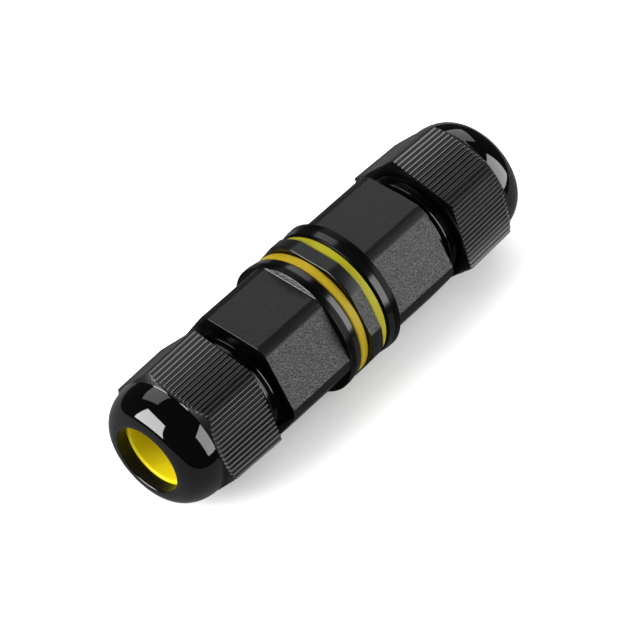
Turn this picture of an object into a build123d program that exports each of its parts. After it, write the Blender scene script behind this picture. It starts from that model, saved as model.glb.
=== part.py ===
from build123d import *
import os
from math import cos, radians, sin, sqrt, tan

# Waterproof wire-to-wire connector, millimetres
# The axis is X, the flat top facets face +Z, and the origin is the middle of the centre ring
os.makedirs("parts", exist_ok=True)

ENDS = {"left": -1, "right": 1}

# Outside sizes
spanner_size = 23.0
housing_corner_rise = 1.22
flange_overhang = 1.45
flange_width = 3.0
flange_front_bevel = 1.2
flange_front_drop = 0.5
flange_back_bevel = 0.25
ring_width = 2.75
ring_flat_step = 0.25
ring_corner_rise = 0.4
sealing_ring_step = 0.45
sealing_gap = 2.05
hex_length = 14.45

# Threads, drawn as plain cylinders: the core outside and the full diameter inside
thread_diameter = 20.4
thread_depth = 0.67
thread_clearance = 0.05
spigot_length = 9.2
neck_length = 10.6

# Sealing rings between the flanges and the centre ring
sealing_ring_seat = 10.0
sealing_ring_clearance = 0.05

# Terminal block and its three brass tubes
block_diameter = 15.6
block_length = 34.0
block_clearance = 0.1
block_key_width = 2.0
block_key_height = 0.8
pole_count = 3
pole_radius = 4.4
terminal_diameter = 5.4
terminal_length = 30.0
terminal_clearance = 0.05
wire_hole_diameter = 3.2
screw_diameter = 3.0
screw_length = 3.0
screw_clearance = 0.05
screw_spacing = 25.0
screw_tip_height = 4.6
screw_tip_bevel = 0.5
screw_slot_width = 0.6
screw_slot_depth = 0.7

# Inside of the housings
chamber_diameter = 19.0
chamber_end_wall = 1.2
chamber_cone_length = 2.4
throat_diameter = 13.2
throat_length = 4.2

# Cable seals
cable_hole_diameter = 12.4
seal_wall = 1.1
seal_clearance = 0.15
seal_seat_gap = 0.1
seal_overhang = 9.2
seal_nose_length = 1.2
seal_nose_taper = 0.25

# Clamp cages
collar_diameter = 18.8
collar_thickness = 1.2
finger_count = 8
finger_length = 5.6
finger_slot = 1.1
finger_root_diameter = 18.2
finger_tip_diameter = 16.8
cage_bore_clearance = 0.1
key_width = 3.0
key_depth = 1.2
key_clearance = 0.15
key_overcut = 0.5
key_count = 2

# Gland nuts, measured outward from the plane where the ribs begin
nut_engagement = {"left": 6.75, "right": 6.2}
nut_turn = {"left": 8.4, "right": 12.7}
nut_flat_rise = 0.15
nut_collar_step = 0.05
nut_collar_length = 0.35
ribs_per_flat = 15
rib_depth = 0.4
rib_length = 10.85
rib_draft = 1.2
dome_start = 12.4
dome_length = 6.05
dome_steps = 5
tip_diameter = 13.8
mouth_diameter = 13.1
mouth_bevel = 0.3
mouth_length = 2.2
nut_thread_length = 9.75
nut_shoulder_diameter = 15.0

# Outside radii that follow from the spanner size
housing_corner = spanner_size / 2 + housing_corner_rise
flange_radius = spanner_size / 2 + flange_overhang
ring_flat = flange_radius - ring_flat_step
ring_corner = flange_radius + ring_corner_rise
sealing_ring_outer = flange_radius - sealing_ring_step
nut_flat = spanner_size / 2 + nut_flat_rise
nut_corner = 2 * nut_flat / sqrt(3)
nut_collar = nut_flat - nut_collar_step
dome_radius = nut_flat - dome_start * tan(radians(rib_draft))

# Places along the axis, all measured from the middle of the ring
ring_face = ring_width / 2
flange_face = ring_face + sealing_gap
flange_back = flange_face + flange_width
hex_end = flange_back + hex_length
spigot_end = ring_face + spigot_length
neck_end = hex_end + neck_length
thread_core = thread_diameter / 2 - thread_depth
thread_bore = thread_diameter / 2 + thread_clearance
socket_end = spigot_end + chamber_end_wall
seal_outer = cable_hole_diameter / 2 + seal_wall
seal_bore = seal_outer + seal_clearance
chamber_end = hex_end - chamber_cone_length
seal_seat = hex_end + throat_length
seal_start = seal_seat + seal_seat_gap
seal_end = neck_end + seal_overhang


def profile_plane(side):
    """Plane of a lathe profile: local x runs outward along the axis and local y is the radius."""
    return Plane(origin=(0, 0, 0), x_dir=(side, 0, 0), z_dir=(0, 0, side))


def section_plane(side, distance):
    """Plane across the axis, facing outward, at a distance from the middle of the ring."""
    return Plane(origin=(side * distance, 0, 0), x_dir=(0, 1, 0), z_dir=(side, 0, 0))


def finish(piece, name):
    """Label a finished piece and write it."""
    piece.part.label = name
    export_step(piece.part, f"parts/{name}.step")


def pole_plane(pole, height=0):
    """Plane facing outward through one pole at a height above the axis, local x along the axis."""
    outward = Vector(0, 0, 1).rotate(Axis.X, 360 / pole_count * pole)
    return Plane(origin=outward * height, x_dir=(1, 0, 0), z_dir=outward)


def ribbed_hexagon(turn, scale=1):
    """Points of a scaled hexagon whose flats carry V ribs, turned in degrees from flats up and down."""
    side_length = scale * nut_corner
    pitch = side_length / ribs_per_flat
    points = []
    for facet in range(6):
        angle = radians(60 * facet + turn)
        for step in range(2 * ribs_per_flat):
            along = -side_length / 2 + step * pitch / 2
            height = scale * (nut_flat - rib_depth * (step % 2))
            y = -along * cos(angle) - height * sin(angle)
            z = -along * sin(angle) + height * cos(angle)
            points.append((y, z))
    return points


def dome_outline(base):
    """Points of a quarter ellipse from the dome's widest circle to its tip, for a lathe profile."""
    height = dome_radius - tip_diameter / 2
    points = []
    for step in range(dome_steps + 1):
        angle = radians(90 / dome_steps * step)
        points.append((base + dome_length * sin(angle), tip_diameter / 2 + height * cos(angle)))
    return points


# Centre body: the ring with its spanner flats, and a threaded spigot each side
with BuildPart() as centre_body:
    with BuildSketch(Plane.YZ.offset(-ring_width / 2)):
        RegularPolygon(ring_flat, 6, major_radius=False)
        Circle(ring_corner, mode=Mode.INTERSECT)
    extrude(amount=ring_width)
    for side in ENDS.values():
        with BuildSketch(profile_plane(side)):
            with BuildLine():
                Polyline(
                    (0, 0),
                    (0, sealing_ring_seat),
                    (flange_face, sealing_ring_seat),
                    (flange_face, thread_core),
                    (spigot_end - thread_depth, thread_core),
                    (spigot_end, thread_core - thread_depth),
                    (spigot_end, 0),
                    close=True,
                )
            make_face()
        revolve(axis=Axis.X)
    with BuildSketch(section_plane(1, -spigot_end)):
        Circle(block_diameter / 2 + block_clearance)
    extrude(amount=2 * spigot_end, mode=Mode.SUBTRACT)
    with BuildSketch(section_plane(1, -spigot_end)):
        with Locations((0, -block_diameter / 2)):
            Rectangle(block_key_width + 2 * block_clearance, 2 * block_key_height)
    extrude(amount=2 * spigot_end, mode=Mode.SUBTRACT)
finish(centre_body, "centre_body")

# Terminal block: a round bar with a key below, three terminal holes and six screw holes
with BuildPart() as terminal_block:
    with BuildSketch(section_plane(1, -block_length / 2)):
        Circle(block_diameter / 2)
        with Locations((0, -block_diameter / 2)):
            Rectangle(block_key_width, 2 * (block_key_height - block_clearance))
        with PolarLocations(pole_radius, pole_count, start_angle=90):
            Circle(terminal_diameter / 2 + terminal_clearance, mode=Mode.SUBTRACT)
    extrude(amount=block_length)
    for pole in range(pole_count):
        with BuildSketch(pole_plane(pole, pole_radius)):
            with GridLocations(screw_spacing, 0, 2, 1):
                Circle(screw_diameter / 2 + 2 * screw_clearance)
        extrude(amount=block_diameter / 2, mode=Mode.SUBTRACT)
finish(terminal_block, "terminal_block")

# Brass terminals: tubes with a tapped hole for the screw near each end
for pole in range(pole_count):
    with BuildPart() as terminal:
        with BuildSketch(section_plane(1, -terminal_length / 2)):
            with PolarLocations(pole_radius, 1, start_angle=90 + 360 / pole_count * pole):
                Circle(terminal_diameter / 2)
                Circle(wire_hole_diameter / 2, mode=Mode.SUBTRACT)
        extrude(amount=terminal_length)
        with BuildSketch(pole_plane(pole, pole_radius)):
            with GridLocations(screw_spacing, 0, 2, 1):
                Circle(screw_diameter / 2 + screw_clearance)
        extrude(amount=terminal_diameter, mode=Mode.SUBTRACT)
    finish(terminal, f"terminal_{pole + 1}")

# Terminal screws: slotted, without heads, two to a terminal
for end, side in ENDS.items():
    for pole in range(pole_count):
        with BuildPart() as terminal_screw:
            with BuildSketch(pole_plane(pole, screw_tip_height)):
                with Locations((side * screw_spacing / 2, 0)):
                    Circle(screw_diameter / 2)
            extrude(amount=screw_length)
            along_screw = Axis((0, 0, 0), pole_plane(pole).z_dir)
            chamfer(terminal_screw.faces().sort_by(along_screw)[0].edges(), screw_tip_bevel)
            with BuildSketch(pole_plane(pole, screw_tip_height + screw_length)):
                with Locations((side * screw_spacing / 2, 0)):
                    Rectangle(screw_slot_width, 2 * screw_diameter)
            extrude(amount=-screw_slot_depth, mode=Mode.SUBTRACT)
        finish(terminal_screw, f"{end}_terminal_screw_{pole + 1}")

for end, side in ENDS.items():
    lathe = profile_plane(side)

    # Sealing ring, squeezed nearly square between the ring and the flange
    with BuildPart() as sealing_ring:
        ring_inner = sealing_ring_seat + sealing_ring_clearance
        ring_height = sealing_ring_outer - ring_inner
        ring_thickness = sealing_gap - 2 * sealing_ring_clearance
        with BuildSketch(lathe):
            with Locations((ring_face + sealing_gap / 2, ring_inner + ring_height / 2)):
                Rectangle(ring_thickness, ring_height)
        revolve(axis=Axis.X)
    finish(sealing_ring, f"{end}_sealing_ring")

    # Housing: hexagon, flange and gland neck, hollow from end to end
    with BuildPart() as housing:
        with BuildSketch(section_plane(side, flange_back)):
            RegularPolygon(spanner_size / 2, 6, major_radius=False)
            Circle(housing_corner, mode=Mode.INTERSECT)
        extrude(amount=hex_length)
        with BuildSketch(lathe):
            with BuildLine():
                Polyline(
                    (flange_face, 0),
                    (flange_face, flange_radius - flange_front_drop),
                    (flange_face + flange_front_bevel, flange_radius),
                    (flange_back - flange_back_bevel, flange_radius),
                    (flange_back, flange_radius - flange_back_bevel),
                    (flange_back, thread_core),
                    (neck_end, thread_core),
                    (neck_end, 0),
                    close=True,
                )
            make_face()
        revolve(axis=Axis.X)
        with BuildSketch(lathe):
            with BuildLine():
                Polyline(
                    (flange_face, 0),
                    (flange_face, thread_bore),
                    (socket_end, thread_bore),
                    (socket_end, chamber_diameter / 2),
                    (chamber_end, chamber_diameter / 2),
                    (hex_end, throat_diameter / 2),
                    (seal_seat, throat_diameter / 2),
                    (seal_seat, seal_bore),
                    (neck_end, seal_bore),
                    (neck_end, 0),
                    close=True,
                )
            make_face()
        revolve(axis=Axis.X, mode=Mode.SUBTRACT)
        with BuildSketch(section_plane(side, neck_end)):
            with PolarLocations(thread_core, key_count):
                Rectangle(2 * (thread_core - seal_bore + key_overcut), key_width + 2 * key_clearance)
        extrude(amount=-(key_depth + key_clearance), mode=Mode.SUBTRACT)
    finish(housing, f"{end}_housing")

    # Cable seal: a soft sleeve from its seat in the neck to just behind the nut's mouth
    with BuildPart() as cable_seal:
        with BuildSketch(lathe):
            with BuildLine():
                Polyline(
                    (seal_start, cable_hole_diameter / 2),
                    (seal_end, cable_hole_diameter / 2),
                    (seal_end, seal_outer - seal_nose_taper),
                    (seal_end - seal_nose_length, seal_outer),
                    (seal_start, seal_outer),
                    close=True,
                )
            make_face()
        revolve(axis=Axis.X)
    finish(cable_seal, f"{end}_cable_seal")

    # Clamp cage: a collar on the neck's end with keys into it, and tapering fingers round the seal
    with BuildPart() as clamp_cage:
        cage_bore = seal_outer + cage_bore_clearance
        finger_start = neck_end + collar_thickness
        finger_end = finger_start + finger_length
        with BuildSketch(lathe):
            with BuildLine():
                Polyline(
                    (neck_end, cage_bore),
                    (neck_end, collar_diameter / 2),
                    (finger_start, collar_diameter / 2),
                    (finger_start, finger_root_diameter / 2),
                    (finger_end, finger_tip_diameter / 2),
                    (finger_end, cage_bore),
                    close=True,
                )
            make_face()
        revolve(axis=Axis.X)
        with BuildSketch(section_plane(side, finger_start)):
            with PolarLocations(0, finger_count // 2, angular_range=180):
                Rectangle(collar_diameter, finger_slot)
        extrude(amount=finger_length, mode=Mode.SUBTRACT)
        with BuildSketch(section_plane(side, neck_end)):
            with PolarLocations(thread_core, key_count):
                Rectangle(2 * (thread_core - seal_bore), key_width)
            Circle(thread_core, mode=Mode.INTERSECT)
            Circle(seal_bore, mode=Mode.SUBTRACT)
        extrude(amount=-key_depth)
    finish(clamp_cage, f"{end}_clamp_cage")

    # Gland nut: a ribbed hexagon coned down to a dome, hollow for the cage
    rib_plane = neck_end - nut_engagement[end]
    rib_end = rib_plane + rib_length
    dome_base = rib_plane + dome_start
    tip = dome_base + dome_length
    with BuildPart() as gland_nut:
        for plane, scale in ((rib_plane, 1), (dome_base, dome_radius / nut_flat)):
            with BuildSketch(section_plane(side, plane)):
                with BuildLine():
                    Polyline(*ribbed_hexagon(side * nut_turn[end], scale), close=True)
                make_face()
        loft(ruled=True)
        with BuildSketch(lathe):
            with BuildLine():
                Polyline(
                    (rib_plane, 0),
                    (rib_plane, nut_corner),
                    (rib_end, nut_corner),
                    (dome_base, dome_radius),
                    (dome_base, 0),
                    close=True,
                )
            make_face()
        revolve(axis=Axis.X, mode=Mode.INTERSECT)
        with BuildSketch(lathe):
            with BuildLine():
                Polyline((dome_base, 0), *dome_outline(dome_base), (tip, 0), close=True)
            make_face()
        revolve(axis=Axis.X)
        with BuildSketch(lathe):
            with Locations((rib_plane - nut_collar_length / 2, nut_collar / 2)):
                Rectangle(nut_collar_length, nut_collar)
        revolve(axis=Axis.X)
        with BuildSketch(lathe):
            with BuildLine():
                Polyline(
                    (rib_plane - nut_collar_length, 0),
                    (rib_plane - nut_collar_length, thread_bore),
                    (rib_plane + nut_thread_length, thread_bore),
                    (tip - mouth_length, nut_shoulder_diameter / 2),
                    (tip - mouth_length, mouth_diameter / 2),
                    (tip - mouth_bevel, mouth_diameter / 2),
                    (tip, mouth_diameter / 2 + mouth_bevel),
                    (tip, 0),
                    close=True,
                )
            make_face()
        revolve(axis=Axis.X, mode=Mode.SUBTRACT)
    finish(gland_nut, f"{end}_gland_nut")
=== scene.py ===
from math import atan2, cos, pi, radians, sin, sqrt, tan

import bmesh
import bpy
import numpy as np
from mathutils import Matrix, Vector


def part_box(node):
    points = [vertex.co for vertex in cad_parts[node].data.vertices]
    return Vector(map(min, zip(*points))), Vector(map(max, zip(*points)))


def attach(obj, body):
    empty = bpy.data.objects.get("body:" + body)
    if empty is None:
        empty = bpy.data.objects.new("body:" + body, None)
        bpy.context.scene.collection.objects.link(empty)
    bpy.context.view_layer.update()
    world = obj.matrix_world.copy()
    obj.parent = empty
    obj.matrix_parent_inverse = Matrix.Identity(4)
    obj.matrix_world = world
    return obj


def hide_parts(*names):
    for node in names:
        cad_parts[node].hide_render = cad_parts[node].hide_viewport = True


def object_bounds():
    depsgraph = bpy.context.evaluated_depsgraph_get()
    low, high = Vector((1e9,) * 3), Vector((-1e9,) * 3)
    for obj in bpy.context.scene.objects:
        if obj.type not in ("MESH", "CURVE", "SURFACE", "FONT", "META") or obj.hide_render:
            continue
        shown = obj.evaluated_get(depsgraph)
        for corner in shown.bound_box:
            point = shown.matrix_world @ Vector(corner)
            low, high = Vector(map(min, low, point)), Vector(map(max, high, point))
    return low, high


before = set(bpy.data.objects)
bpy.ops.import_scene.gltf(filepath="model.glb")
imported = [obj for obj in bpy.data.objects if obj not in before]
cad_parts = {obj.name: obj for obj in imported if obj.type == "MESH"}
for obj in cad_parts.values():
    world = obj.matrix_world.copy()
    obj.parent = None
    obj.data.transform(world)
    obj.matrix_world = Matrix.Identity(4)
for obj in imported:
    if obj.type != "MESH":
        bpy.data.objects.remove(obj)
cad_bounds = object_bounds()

# Waterproof wire-to-wire connector. The axis is X and sizes are in millimetres until a mesh is made.
MM = 0.001
ENDS = {"left": -1, "right": 1}

# Outside sizes
spanner_size = 23.0
housing_corner_radius = 12.72
flange_radius = 12.95
flange_width = 3.0
flange_front_drop = 0.5
flange_front_round = 0.15
flange_rim_bevel = 0.3
flange_rim_drop = 0.25
flange_rim_length = 1.55
flange_rim_round = 0.4
flange_slope_round = 1.5
flange_back_round = 0.15
ring_half_width = 1.375
ring_across_flats = 25.4
ring_corner_radius = 13.35
ring_edge_radius = 0.15
ring_seat_radius = 10.0
sealing_gap = 2.05
hex_length = 14.45
hex_root_fillet = 0.05
hex_end_radius = 0.15
flat_edge_blend = 0.08
flat_half_angle = 25.2
flat_tilt_limit = 3

# Threads: the ridges that the solids leave out
thread_pitch = 1.41
thread_core = 9.53
thread_crest = 10.2
thread_bore = 10.25
thread_minor = 9.6
ridge_root_share = 0.8  # of the pitch
ridge_crest_share = 0.1
spigot_length = 9.2
spigot_bevel = 0.67
neck_length = 10.6
neck_bevel = 0.4

# Inside of the housings
chamber_radius = 9.5
chamber_end_wall = 1.2
chamber_cone_length = 2.4
throat_radius = 6.6
throat_length = 4.2
seal_bore = 7.45
key_slot_width = 3.3
key_slot_depth = 1.35

# Terminal block bore in the centre body
block_bore = 7.9
block_keyway_width = 2.2
block_keyway_height = 8.6

# Sealing rings and cable seals
sealing_ring_outer = 12.5
sealing_ring_inner = 10.05
sealing_ring_side_gap = 0.05
sealing_ring_round = 0.45
cable_hole_radius = 6.2
seal_outer = 7.3
seal_nose_round = 0.5

# Gland nuts, measured outward from the plane where the ribs begin
nut_turn = {"left": 8.4, "right": 12.7}
nut_flat = 11.65
nut_collar_radius = 11.6
nut_collar_length = 0.35
nut_collar_round = 0.2
nut_rear_chamfer = 0.12
ribs_per_flat = 15
rib_depth = 0.4
rib_flat_share = 0.42
rib_steps = (0, 0.17, 0.21, 0.25, 0.37, 0.46, 0.54, 0.63, 0.75, 0.79, 0.83)
rib_length = 10.85
rib_draft = 1.2
rib_fade = 0.9
rib_end_length = 0.5
dome_start = 12.4
dome_length = 6.05
tip_radius = 6.9
mouth_radius = 6.55
mouth_bevel = 0.3
mouth_length = 2.2
nut_thread_length = 9.75
nut_shoulder_radius = 7.5

nut_corner = 2 * nut_flat / sqrt(3)
dome_radius = nut_flat - dome_start * tan(radians(rib_draft))

# Places along the axis, all measured from the middle of the ring
flange_face = ring_half_width + sealing_gap
flange_back = flange_face + flange_width
hex_end = flange_back + hex_length
spigot_end = ring_half_width + spigot_length
neck_end = hex_end + neck_length
socket_end = spigot_end + chamber_end_wall
chamber_end = hex_end - chamber_cone_length
seal_seat = hex_end + throat_length

around = 288


# Shapes

def smooth_min(a, b, blend):
    """The smaller of two arrays, with the crossing rounded over a width."""
    gap = np.clip(1 - np.abs(a - b) / blend, 0, 1)
    return np.minimum(a, b) - gap**2 * blend / 4


def rounded(corners, steps=6):
    """Points of a line through (x, y, radius) corners, each rounded to its radius."""
    points = []
    for index, (x, y, radius) in enumerate(corners):
        here = np.array([x, y])
        if radius == 0 or index in (0, len(corners) - 1):
            points.append(here)
            continue
        to_last = np.array(corners[index - 1][:2]) - here
        to_next = np.array(corners[index + 1][:2]) - here
        to_last = to_last / np.linalg.norm(to_last)
        to_next = to_next / np.linalg.norm(to_next)
        half = np.arccos(np.clip(to_last @ to_next, -1, 1)) / 2
        reach = radius / tan(half)
        middle = to_last + to_next
        centre = here + middle / np.linalg.norm(middle) * radius / sin(half)
        start = here + to_last * reach - centre
        end = here + to_next * reach - centre
        for step in range(steps + 1):
            share = step / steps
            spoke = start * (1 - share) + end * share
            points.append(centre + spoke / np.linalg.norm(spoke) * radius)
    return [(float(x), float(y)) for x, y in points]


def circle_angles():
    return np.linspace(0, 2 * pi, around, endpoint=False)


def loop(side, distance, radius, angles):
    """One ring of points round the axis. The distance and the radius may vary round it."""
    ones = np.ones(len(angles))
    return np.stack([
        side * distance * ones,
        radius * np.cos(angles),
        radius * np.sin(angles),
    ], axis=1)


def skin(loops):
    """Closed shell through rings of equal count, the last joined back to the first."""
    count = len(loops[0])
    points = np.concatenate(loops)
    faces = []
    for row in range(len(loops)):
        here = row * count
        there = (row + 1) % len(loops) * count
        for column in range(count):
            beside = (column + 1) % count
            faces.append((here + column, here + beside, there + beside, there + column))
    return points, faces


def lathe(side, profile):
    """Closed shell of a closed (distance, radius) profile turned about the axis."""
    angles = circle_angles()
    return skin([loop(side, distance, radius, angles) for distance, radius in profile])


def sixth_turn(angle):
    """Angle from the middle of the nearest of six flats, one of which faces +Z."""
    return (angle - pi / 2 + pi / 6) % (pi / 3) - pi / 6


def hexagon_radius(angles, across_flats, turn=0.0):
    """Radius of a hexagon at each angle, with a flat facing +Z at no turn."""
    return across_flats / 2 / np.cos(sixth_turn(angles - radians(turn)))


def thread(side, start, end, root, crest, phase):
    """Right-handed helical ridge between two distances, from a root radius to a crest radius."""
    low, high = sorted((side * start, side * end))
    first = (low / thread_pitch - phase) * 2 * pi
    last = (high / thread_pitch - phase) * 2 * pi
    margin = ridge_root_share * pi
    first += margin
    last -= margin
    steps = int((last - first) / (2 * pi) * 72)
    angles = np.linspace(first, last, steps + 1)
    runout = np.clip(np.minimum(angles - first, last - angles) / radians(50), 0.02, 1)
    height = root + (crest - root) * runout
    sunk = root - np.sign(crest - root) * 0.05
    loops = []
    for angle, top in zip(angles, height):
        middle = (angle / (2 * pi) + phase) * thread_pitch
        section = [
            (-ridge_root_share / 2, sunk),
            (-ridge_crest_share / 2, top),
            (ridge_crest_share / 2, top),
            (ridge_root_share / 2, sunk),
        ]
        loops.append([
            (middle + along * thread_pitch, radius * cos(angle), radius * sin(angle))
            for along, radius in section
        ])
    count = 4
    faces = []
    for row in range(len(loops) - 1):
        for column in range(count):
            beside = (column + 1) % count
            here = row * count
            there = here + count
            faces.append((here + column, here + beside, there + beside, there + column))
    end_row = (len(loops) - 1) * count
    faces.append(tuple(range(count)))
    faces.append(tuple(end_row + column for column in range(count)))
    return np.array([point for section in loops for point in section]), faces


def mesh_of(name, shell, sharp=35):
    """Mesh of one closed shell, in metres, smooth but for edges sharper than an angle."""
    points, faces = shell
    mesh = bpy.data.meshes.new(name)
    mesh.from_pydata((np.asarray(points) * MM).tolist(), [], faces)
    work = bmesh.new()
    work.from_mesh(mesh)
    bmesh.ops.remove_doubles(work, verts=work.verts, dist=1e-8)
    bmesh.ops.recalc_face_normals(work, faces=work.faces)
    work.to_mesh(mesh)
    work.free()
    mesh.shade_smooth()
    mesh.set_sharp_from_angle(angle=radians(sharp))
    return mesh


def box_shell(low, high):
    """Closed box between two corners."""
    corners = [(x, y, z) for x in (low[0], high[0]) for y in (low[1], high[1]) for z in (low[2], high[2])]
    faces = [(0, 1, 3, 2), (4, 6, 7, 5), (0, 4, 5, 1), (2, 3, 7, 6), (0, 2, 6, 4), (1, 5, 7, 3)]
    return corners, faces


def cut(mesh, boxes):
    """The mesh with boxes taken out of it."""
    holder = bpy.data.objects.new("cut_target", mesh)
    bpy.context.scene.collection.objects.link(holder)
    cutters = []
    for corners in boxes:
        cutter = bpy.data.objects.new("cutter", mesh_of("cutter", box_shell(*corners)))
        bpy.context.scene.collection.objects.link(cutter)
        modifier = holder.modifiers.new("cut", "BOOLEAN")
        modifier.operation = "DIFFERENCE"
        modifier.solver = "EXACT"
        modifier.object = cutter
        cutters.append(cutter)
    bpy.context.view_layer.update()
    result = bpy.data.meshes.new_from_object(holder.evaluated_get(bpy.context.evaluated_depsgraph_get()))
    for unwanted in [holder, *cutters]:
        bpy.data.objects.remove(unwanted)
    return result


def piece(name, meshes, materials, body, node=None, sharp=35, choose=None):
    """One object from several meshes, riding on a body and standing for a CAD node."""
    work = bmesh.new()
    for mesh in meshes:
        work.from_mesh(mesh)
    joined = bpy.data.meshes.new(name)
    work.to_mesh(joined)
    work.free()
    joined.shade_smooth()
    joined.set_sharp_from_angle(angle=radians(sharp))
    joined.materials.clear()
    for material in materials:
        joined.materials.append(material)
    for face in joined.polygons:
        face.material_index = materials.index(choose(face)) if choose else 0
    made = bpy.data.objects.new(name, joined)
    bpy.context.scene.collection.objects.link(made)
    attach(made, body)
    if node:
        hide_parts(node)
    return made


# Materials

def plastic(name, colour, roughness, grain=0.0, grain_size=0.25, specular=0.5, mottle=0.0):
    """Moulded plastic. The grain is a fine bump and the mottle a slight change of roughness."""
    material = bpy.data.materials.new(name)
    material.use_nodes = True
    nodes, links = material.node_tree.nodes, material.node_tree.links
    shader = nodes["Principled BSDF"]
    shader.inputs["Base Color"].default_value = (*colour, 1)
    shader.inputs["Roughness"].default_value = roughness
    shader.inputs["Specular IOR Level"].default_value = specular
    place = nodes.new("ShaderNodeTexCoord")
    if grain:
        noise = nodes.new("ShaderNodeTexNoise")
        noise.inputs["Scale"].default_value = 1 / (grain_size * MM)
        noise.inputs["Detail"].default_value = 2
        links.new(place.outputs["Object"], noise.inputs["Vector"])
        bump = nodes.new("ShaderNodeBump")
        bump.inputs["Strength"].default_value = grain
        bump.inputs["Distance"].default_value = grain_size * MM
        links.new(noise.outputs["Fac"], bump.inputs["Height"])
        links.new(bump.outputs["Normal"], shader.inputs["Normal"])
    if mottle:
        patches = nodes.new("ShaderNodeTexNoise")
        patches.inputs["Scale"].default_value = 400
        links.new(place.outputs["Object"], patches.inputs["Vector"])
        spread = nodes.new("ShaderNodeMapRange")
        spread.inputs["To Min"].default_value = roughness - mottle
        spread.inputs["To Max"].default_value = roughness + mottle
        links.new(patches.outputs["Fac"], spread.inputs["Value"])
        links.new(spread.outputs["Result"], shader.inputs["Roughness"])
    return material


def metal(name, colour, roughness):
    material = plastic(name, colour, roughness, mottle=0.08)
    material.node_tree.nodes["Principled BSDF"].inputs["Metallic"].default_value = 1
    return material


def rubber(name, colour, roughness):
    material = plastic(name, colour, roughness, grain=0.05, grain_size=0.4, specular=0.15)
    shader = material.node_tree.nodes["Principled BSDF"]
    shader.inputs["Subsurface Weight"].default_value = 0.25
    shader.inputs["Subsurface Radius"].default_value = (1, 0.6, 0.1)
    shader.inputs["Subsurface Scale"].default_value = 0.6 * MM
    return material


black_grained = plastic("black_grained", (0.012, 0.012, 0.0115), 0.35, grain=1.0, grain_size=0.32)
# Painted light: a lighter, shinier copy of the grained black for the flange back face above and below the
# flats, where the light falls on it; the grain itself is a real bump.
black_coarse_painted_light = plastic("black_coarse_painted_light", (0.04, 0.039, 0.038), 0.42, grain=1.0, grain_size=0.42, specular=0.9)
# Painted shade: a darker, less shiny copy of the grained black for the flats that face straight up and
# down.
black_facet = plastic("black_facet", (0.003, 0.003, 0.003), 0.38, grain=0.4, grain_size=0.3, specular=0.25)
# Painted shade: a darker, less shiny copy for the rounded corner strips between flats, the last stretch of
# the nut ribs and the nut's mouth wall.
black_strip = plastic("black_strip", (0.003, 0.003, 0.003), 0.32, grain=0.2, grain_size=0.3, specular=0.17)
black_smooth = plastic("black_smooth", (0.001, 0.001, 0.001), 0.15)
black_gloss = plastic("black_gloss", (0.0005, 0.0005, 0.0006), 0.04)
black_rim = plastic("black_rim", (0.001, 0.001, 0.001), 0.17, specular=0.36, mottle=0.06)
black_end = plastic("black_end", (0.001, 0.001, 0.001), 0.15, specular=0.22)
# Painted shade: reflection almost turned off, so the flange's side wedges, front face and back half and the
# nut's collar and rear face stay dark as in shade.
black_painted_shade = plastic("black_painted_shade", (0.001, 0.001, 0.001), 0.25, specular=0.05)
black_satin = plastic("black_satin", (0.001, 0.001, 0.001), 0.28, specular=0.47)
black_hidden = plastic("black_hidden", (0.02, 0.02, 0.02), 0.5)
block_grey = plastic("block_grey", (0.03, 0.03, 0.032), 0.5)
# Both sealing rings are the same yellow rubber; their two tints are painted light, each coloured to how the
# light falls on it: the left one more orange, the right one more yellow.
ring_yellow = {
    "left": rubber("ring_yellow_left", (0.22, 0.156, 0.002), 0.5),
    "right": rubber("ring_yellow_right", (0.195, 0.18, 0.003), 0.5),
}
seal_yellow = rubber("seal_yellow", (0.5, 0.41, 0.004), 0.45)
brass = metal("brass", (0.72, 0.53, 0.25), 0.28)
steel = metal("steel", (0.56, 0.56, 0.58), 0.3)


# Pieces that stand for a solid: the same form with its edges rounded and its threads cut

hexagon_materials = [
    black_smooth, black_grained, black_facet, black_strip, black_coarse_painted_light, black_painted_shade, black_rim, black_end,
]


def facet_finish(face):
    """Material of a face of the centre ring or of a housing."""
    distance = abs(face.center.x) / MM
    radius = (face.center.y**2 + face.center.z**2) ** 0.5 / MM
    normal = face.normal
    if distance > hex_end - hex_end_radius:
        on_crest = radius > thread_crest - 0.03 and distance > hex_end + 0.1
        return black_smooth if on_crest else black_end
    # Flange back face: painted light above and below the flats, painted shade on the side wedges.
    if abs(normal.x) > 0.95 and abs(distance - flange_back) < 0.02 and radius > spanner_size / 2:
        over_flat_up_or_down = abs(face.center.z) / MM > spanner_size / 2
        return black_coarse_painted_light if over_flat_up_or_down else black_painted_shade
    # Flange: front half satin, with painted shade on its front face and on its back half.
    if flange_face - 0.1 < distance < flange_back:
        if distance < flange_face + flange_rim_length:
            return black_rim if abs(normal.x) < 0.3 else black_painted_shade
        return black_painted_shade if abs(normal.x) < 0.2 else black_smooth
    outside = normal.y * face.center.y + normal.z * face.center.z > 0
    if abs(normal.x) > 0.05 or not outside or radius < spanner_size / 2 - 0.1:
        return black_smooth
    from_flat = abs(sixth_turn(atan2(face.center.z, face.center.y)))
    tilt = abs(sixth_turn(atan2(normal.z, normal.y)))
    # Corner strips between flats: painted shade.
    if tilt > radians(flat_tilt_limit) or from_flat > radians(flat_half_angle):
        return black_strip
    # Flats facing straight up and down: painted shade.
    return black_facet if abs(normal.z) > 0.99 else black_grained


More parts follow.
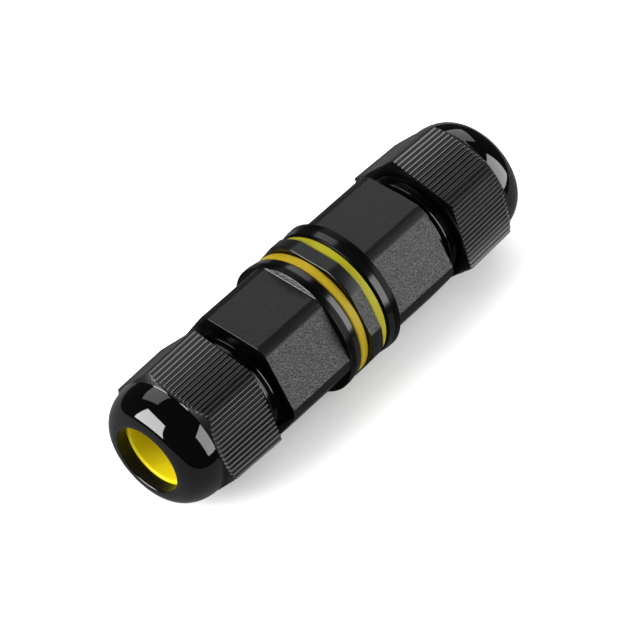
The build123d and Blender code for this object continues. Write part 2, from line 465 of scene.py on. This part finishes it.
def ring_shell():
    """Centre body: the ring with its flats, the seats of the sealing rings and the two spigots."""
    angles = circle_angles()
    flats = smooth_min(hexagon_radius(angles, ring_across_flats), ring_corner_radius, flat_edge_blend)
    loops = []
    for step in range(13):
        turn = pi * step / 12
        along = -(ring_half_width - ring_edge_radius) * np.sign(cos(turn)) - ring_edge_radius * cos(turn)
        inset = ring_edge_radius * (1 - sin(turn))
        loops.append(loop(1, along, flats - inset, angles))
    outside = [
        (ring_half_width, ring_seat_radius),
        (flange_face, ring_seat_radius),
        (flange_face, thread_core),
        (spigot_end - spigot_bevel, thread_core),
        (spigot_end, thread_core - spigot_bevel),
        (spigot_end, block_bore),
    ]
    for distance, radius in outside:
        loops.append(loop(1, distance, radius, angles))
    for distance, radius in reversed(outside):
        loops.append(loop(-1, distance, radius, angles))
    return skin(loops)


def centre_piece():
    body = cut(mesh_of("ring", ring_shell()), [
        ((-spigot_end - 1, -block_keyway_width / 2, -block_keyway_height),
         (spigot_end + 1, block_keyway_width / 2, 0)),
    ])
    meshes = [body]
    for side in ENDS.values():
        ridge = thread(side, flange_face + 0.1, spigot_end - 0.3, thread_core, thread_crest, 0.0)
        meshes.append(mesh_of("spigot_thread", ridge))
    piece("centre_ring", meshes, hexagon_materials, "centre", "centre_body",
          choose=facet_finish)


def housing_shell(side):
    """Housing: flange, hexagon and neck outside, then the seat, throat, chamber and socket inside."""
    angles = circle_angles()
    edge = hex_end_radius
    flats = smooth_min(hexagon_radius(angles, spanner_size), housing_corner_radius, flat_edge_blend)
    rim = rounded([
        (flange_face, thread_bore, 0),
        (flange_face, flange_radius - flange_front_drop, flange_front_round),
        (flange_face + flange_rim_bevel, flange_radius - flange_rim_drop, flange_rim_round),
        (flange_face + flange_rim_length, flange_radius - flange_rim_drop * 0.25, 0),
        (flange_face + flange_rim_length * 4 / 3 - flange_rim_bevel / 3, flange_radius, flange_slope_round),
        (flange_back, flange_radius, flange_back_round),
        (flange_back, spanner_size / 2, 0),
    ], steps=8)
    loops = [loop(side, distance, radius, angles) for distance, radius in rim[:-1]]
    loops.append(loop(side, flange_back, flats + hex_root_fillet, angles))
    loops.append(loop(side, flange_back + hex_root_fillet, flats, angles))
    loops.append(loop(side, hex_end - edge, flats, angles))
    for step in range(1, 6):
        turn = pi / 2 * step / 5
        loops.append(loop(side, hex_end - edge + edge * sin(turn), flats - edge * (1 - cos(turn)), angles))
    inside = [
        (hex_end, thread_core),
        (neck_end - neck_bevel, thread_core),
        (neck_end, thread_core - neck_bevel),
        (neck_end, seal_bore),
        (seal_seat, seal_bore),
        (seal_seat, throat_radius),
        (hex_end, throat_radius),
        (chamber_end, chamber_radius),
        (socket_end, chamber_radius),
        (socket_end, thread_bore),
    ]
    for distance, radius in inside:
        loops.append(loop(side, distance, radius, angles))
    return skin(loops)


def housing_piece(end, side):
    low = side * (neck_end - key_slot_depth)
    high = side * (neck_end + 1)
    slots = [((min(low, high), -12, -key_slot_width / 2), (max(low, high), 12, key_slot_width / 2))]
    body = cut(mesh_of("housing", housing_shell(side)), slots)
    neck = thread(side, hex_end + 0.3, neck_end - 0.2, thread_core, thread_crest, 0.0)
    neck = cut(mesh_of("neck_thread", neck), slots)
    socket = thread(side, flange_face + 0.2, socket_end - 0.2, thread_bore, thread_minor, 0.5)
    piece(f"{end}_body", [body, neck, mesh_of("socket_thread", socket)],
          hexagon_materials, f"{end}_shell", f"{end}_housing", choose=facet_finish)


def rib_points(turn):
    """Angles round the ribbed hexagon, with the radius of its ribs and of its bare flats there."""
    side_length = nut_corner
    step = np.add.outer(np.arange(ribs_per_flat), rib_steps).ravel()
    along = side_length * (step / ribs_per_flat - 0.5)
    from_valley = np.abs(2 * (step % 1) - 1)
    valley = 1 - smooth_min(from_valley / (1 - rib_flat_share), 1, 0.15)
    angles, ribs, flats = [], [], []
    for facet in range(6):
        for height, kept in ((nut_flat - rib_depth * valley, ribs), (nut_flat, flats)):
            kept.append(np.hypot(along, height))
        angles.append(pi / 2 + radians(60 * facet + turn) + np.arctan2(along, nut_flat))
    return np.concatenate(angles), np.concatenate(ribs), np.concatenate(flats)


def nut_limit(distance):
    """Radius of the lathe form that cuts the ribbed hexagon, at a distance from the rib plane."""
    if distance < nut_rear_chamfer:
        return nut_corner + distance - nut_rear_chamfer
    if distance < rib_length:
        return nut_corner + 0.3
    if distance < dome_start:
        share = (distance - rib_length) / (dome_start - rib_length)
        return nut_corner + share * (dome_radius - nut_corner)
    share = (distance - dome_start) / dome_length
    return tip_radius + (dome_radius - tip_radius) * sqrt(max(0.0, 1 - share**2))


def nut_shell(side, turn, rib_plane):
    angles, ribs, flats = rib_points(turn)
    fade_end = dome_start - 0.15
    places = [0.0, 0.06, 0.12, 0.2]
    places += list(np.linspace(1.0, rib_length - 0.5, 5))
    places += list(np.linspace(rib_length - 0.4, dome_start, 24))
    loops = [
        loop(side, rib_plane - nut_collar_length, thread_bore + 0.3, angles),
        loop(side, rib_plane - nut_collar_length, nut_collar_radius - nut_collar_round, angles),
        loop(side, rib_plane - nut_collar_length + 0.06, nut_collar_radius - 0.06, angles),
        loop(side, rib_plane - nut_collar_length + nut_collar_round, nut_collar_radius, angles),
        loop(side, rib_plane, np.minimum(nut_collar_radius, ribs), angles),
    ]
    for distance in places:
        fade = np.clip((fade_end - distance) / rib_fade, 0, 1)
        draft = 1 - distance * tan(radians(rib_draft)) / nut_flat
        outline = draft * (flats + (ribs - flats) * fade)
        radius = smooth_min(outline, nut_limit(distance), 0.12)
        loops.append(loop(side, rib_plane + distance, radius, angles))
    for step in range(1, 31):
        turn_step = pi / 2 * step / 30
        distance = dome_start + dome_length * sin(turn_step)
        radius = tip_radius + (dome_radius - tip_radius) * cos(turn_step)
        loops.append(loop(side, rib_plane + distance, radius, angles))
    tip = dome_start + dome_length
    inside = rounded([
        (tip, tip_radius, 0),
        (tip, mouth_radius, mouth_bevel * 0.9),
        (tip - mouth_length, mouth_radius, 0.1),
        (tip - mouth_length, nut_shoulder_radius, 0),
        (nut_thread_length, thread_bore, 0),
        (-nut_collar_length, thread_bore, 0),
    ])
    for distance, radius in inside[1:]:
        loops.append(loop(side, rib_plane + distance, radius, angles))
    return skin(loops)


def nut_piece(end, side):
    low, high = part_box(f"{end}_gland_nut")
    reach = max(abs(low[0]), abs(high[0])) / MM
    rib_plane = reach - dome_start - dome_length
    body = mesh_of("nut", nut_shell(side, nut_turn[end], rib_plane))
    ridge = thread(side, rib_plane - nut_collar_length + 0.2, rib_plane + nut_thread_length,
                   thread_bore, thread_minor, 0.5)
    edge = (rib_plane + dome_start) * MM

    def nut_finish(face):
        distance = abs(face.center.x)
        radius = (face.center.y**2 + face.center.z**2) ** 0.5
        if distance > edge - 0.05 * MM and radius > mouth_radius * MM:
            return black_gloss
        # Nut collar and rear face: painted shade.
        if distance < rib_plane * MM:
            return black_painted_shade
        # The last stretch of ribs before the dome and the mouth wall inside: painted shade.
        return black_strip if distance > edge - rib_end_length * MM else black_satin

    piece(f"{end}_nut_shell", [body, mesh_of("nut_thread", ridge)],
          [black_satin, black_gloss, black_strip, black_painted_shade],
          f"{end}_nut", f"{end}_gland_nut", choose=nut_finish)


def sealing_ring_piece(end, side):
    near = ring_half_width + sealing_ring_side_gap
    far = flange_face - sealing_ring_side_gap
    corner = sealing_ring_round
    middle = (near + far) / 2
    profile = rounded([
        (middle, sealing_ring_inner, 0),
        (near, sealing_ring_inner, 0.15),
        (near, sealing_ring_outer, corner),
        (far, sealing_ring_outer, corner),
        (far, sealing_ring_inner, 0.15),
        (middle, sealing_ring_inner, 0),
    ])
    piece(f"{end}_ring_seal", [mesh_of("ring_seal", lathe(side, profile[:-1]))], [ring_yellow[end]],
          "centre", f"{end}_sealing_ring")


def cable_seal_piece(end, side):
    low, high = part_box(f"{end}_cable_seal")
    near, far = sorted((abs(low[0]) / MM, abs(high[0]) / MM))
    middle = (near + far) / 2
    profile = rounded([
        (middle, cable_hole_radius, 0),
        (near, cable_hole_radius, 0.2),
        (near, seal_outer, 0.2),
        (far, seal_outer - 0.12, seal_nose_round),
        (far, cable_hole_radius, seal_nose_round),
        (middle, cable_hole_radius, 0),
    ])
    piece(f"{end}_grip_seal", [mesh_of("grip_seal", lathe(side, profile[:-1]))], [seal_yellow],
          f"{end}_seal", f"{end}_cable_seal")


centre_piece()
for end, side in ENDS.items():
    housing_piece(end, side)
    nut_piece(end, side)
    sealing_ring_piece(end, side)
    cable_seal_piece(end, side)

# Solids that are shown as they are
finishes = {"terminal_block": block_grey}
for end in ENDS:
    finishes[f"{end}_clamp_cage"] = black_hidden
    for pole in (1, 2, 3):
        finishes[f"{end}_terminal_screw_{pole}"] = steel
        finishes[f"terminal_{pole}"] = brass
for node_name, material in finishes.items():
    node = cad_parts[node_name]
    if not node.material_slots:
        node.data.materials.append(material)
    for material_slot in node.material_slots:
        material_slot.material = material


# Floor, lights and background

def sheet(name, low, high, height, material):
    """Flat sheet between two corners, which isn't part of the object."""
    mesh = bpy.data.meshes.new(name)
    corners = [(low[0], low[1]), (high[0], low[1]), (high[0], high[1]), (low[0], high[1])]
    mesh.from_pydata([(x, y, height) for x, y in corners], [], [(0, 1, 2, 3)])
    mesh.materials.append(material)
    made = bpy.data.objects.new(name, mesh)
    bpy.context.scene.collection.objects.link(made)
    return made


# The floor runs on without end, but what the gloss mirrors is a small table in a dark room
floor_white = plastic("floor_white", (0.8, 0.8, 0.8), 0.9, specular=0.1)
floor_height = min(cad_bounds[0][2], cad_bounds[1][2])
table_grey = plastic("table_grey", (0.13, 0.13, 0.13), 0.9, specular=0.1)
floor = sheet("floor", (-3.0, -3.0), (3.0, 3.0), floor_height, floor_white)
floor.visible_glossy = False
table = sheet("table", (-0.17, -0.05), (0.13, 0.13), floor_height + 0.05 * MM, table_grey)
table.visible_camera = False
table.visible_diffuse = False
table.visible_transmission = False
table.visible_shadow = False


def softbox(name, azimuth, elevation, wide, tall, radiance, roll=0, distance=0.6):
    """Rectangular lamp at a direction from the object, with its size in degrees as seen from there."""
    outward = Vector((
        cos(radians(elevation)) * cos(radians(azimuth)),
        cos(radians(elevation)) * sin(radians(azimuth)),
        sin(radians(elevation)),
    ))
    lamp = bpy.data.lights.new(name, "AREA")
    lamp.shape = "RECTANGLE"
    lamp.size = 2 * distance * tan(radians(wide / 2))
    lamp.size_y = 2 * distance * tan(radians(tall / 2))
    lamp.energy = radiance * pi * lamp.size * lamp.size_y
    turned = outward.to_track_quat("Z", "Y").to_matrix() @ Matrix.Rotation(radians(roll), 3, "Z")
    made = bpy.data.objects.new(name, lamp)
    made.matrix_world = Matrix.Translation(outward * distance) @ turned.to_4x4()
    bpy.context.scene.collection.objects.link(made)
    return made


softbox("softbox_left", 157, 26, 42, 44, 13.3)
softbox("softbox_back", 53, 45, 67, 36, 1.85, roll=25)
softbox("softbox_front", -57, 17, 66, 46, 6)
fill = softbox("fill_above", 0, 89, 100, 100, 1.2)
fill.visible_glossy = False

world = bpy.data.worlds.new("studio")
bpy.context.scene.world = world
world.use_nodes = True
world_nodes, world_links = world.node_tree.nodes, world.node_tree.links
background = world_nodes["Background"]
background.inputs["Color"].default_value = (0.04, 0.04, 0.042, 1)
backdrop = world_nodes.new("ShaderNodeBackground")
backdrop.inputs["Color"].default_value = (1, 1, 1, 1)
ray = world_nodes.new("ShaderNodeLightPath")
choice = world_nodes.new("ShaderNodeMixShader")
world_links.new(ray.outputs["Is Camera Ray"], choice.inputs[0])
world_links.new(background.outputs[0], choice.inputs[1])
world_links.new(backdrop.outputs[0], choice.inputs[2])
world_links.new(choice.outputs[0], world_nodes["World Output"].inputs["Surface"])
bpy.context.scene.view_settings.view_transform = "Standard"

# Camera, fitted to the photograph
camera_place = Vector((-287.3, -272.2, 425.6)) * MM
camera_right = Vector((0.6486, -0.7597, -0.0473)).normalized()
camera_back = Vector((-0.4927, -0.4663, 0.7347)).normalized()
camera_up = camera_back.cross(camera_right).normalized()
camera_right = camera_up.cross(camera_back)
camera_data = bpy.data.cameras.new("camera")
camera_data.lens = 192.7
camera_data.sensor_width = 36
camera_data.clip_end = 20
camera = bpy.data.objects.new("camera", camera_data)
camera.matrix_world = Matrix.Translation(camera_place) @ Matrix(
    (camera_right, camera_up, camera_back)).transposed().to_4x4()
bpy.context.scene.collection.objects.link(camera)
bpy.context.scene.camera = camera
